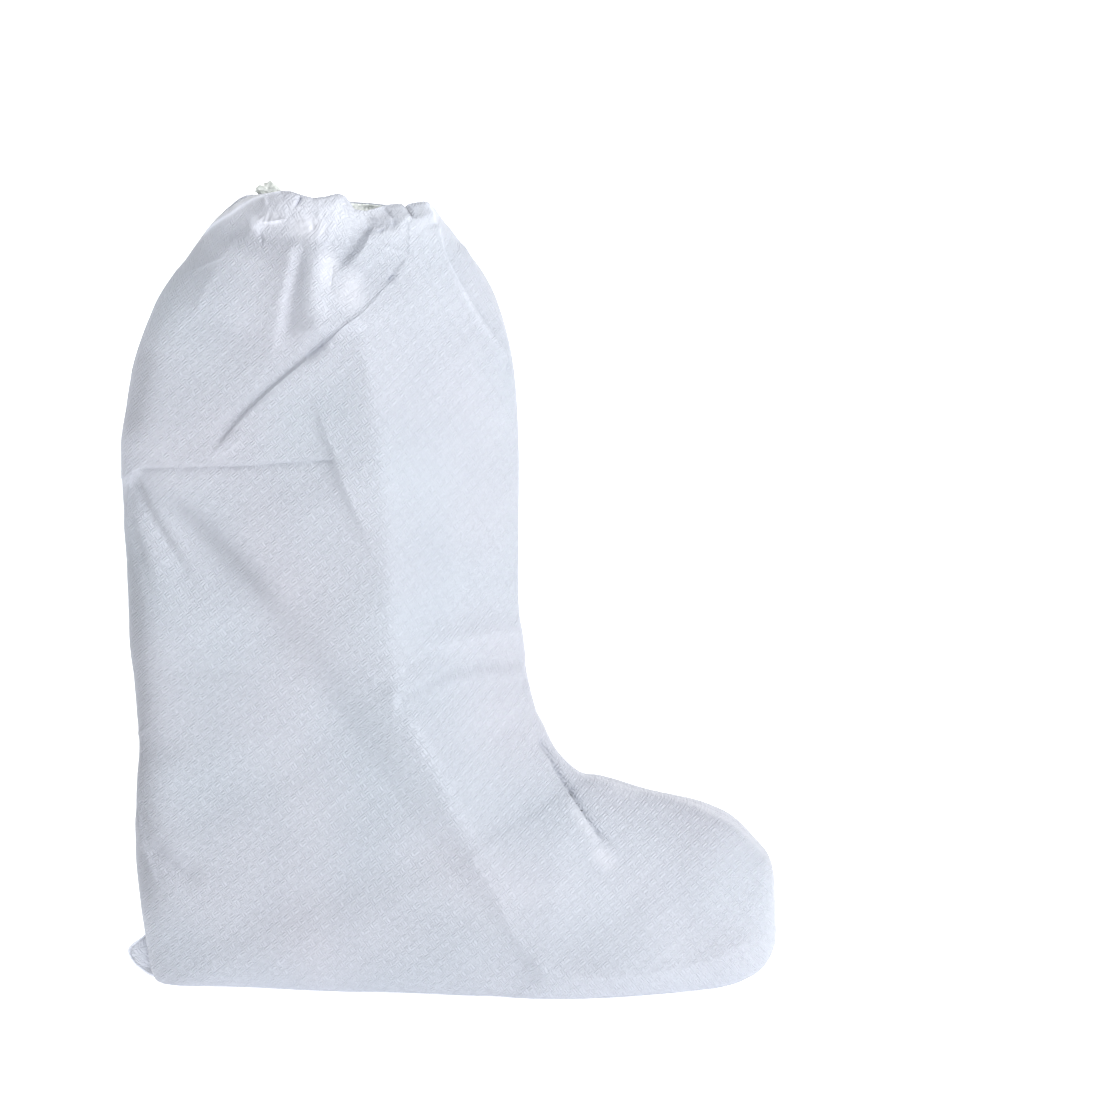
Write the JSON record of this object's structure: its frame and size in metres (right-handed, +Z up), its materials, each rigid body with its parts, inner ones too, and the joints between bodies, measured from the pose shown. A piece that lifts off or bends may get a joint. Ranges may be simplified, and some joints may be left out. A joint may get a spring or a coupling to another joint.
{
  "type": "boot cover",
  "caption": "Knee-high disposable boot cover of film-coated nonwoven fabric in the shape of the leg and foot that fill it, with sewn side panels and an elastic-gathered top.",
  "frame": {"origin": "on the inner face of the sole, under the middle of the leg, where the wearer's foot stands", "axes": "+Z up the leg, +X towards the toe, +Y across to the far side panel"},
  "size_m": [0.377, 0.1284, 0.4589],
  "materials": {
    "coated_nonwoven": "satin white film on embossed nonwoven",
    "shirred_elastic": "matt off-white gathered elastic"
  },
  "bodies": {
    "root": {"near_panel": "coated_nonwoven", "far_panel": "coated_nonwoven", "top_elastic": "shirred_elastic"}
  },
  "joints": []
}
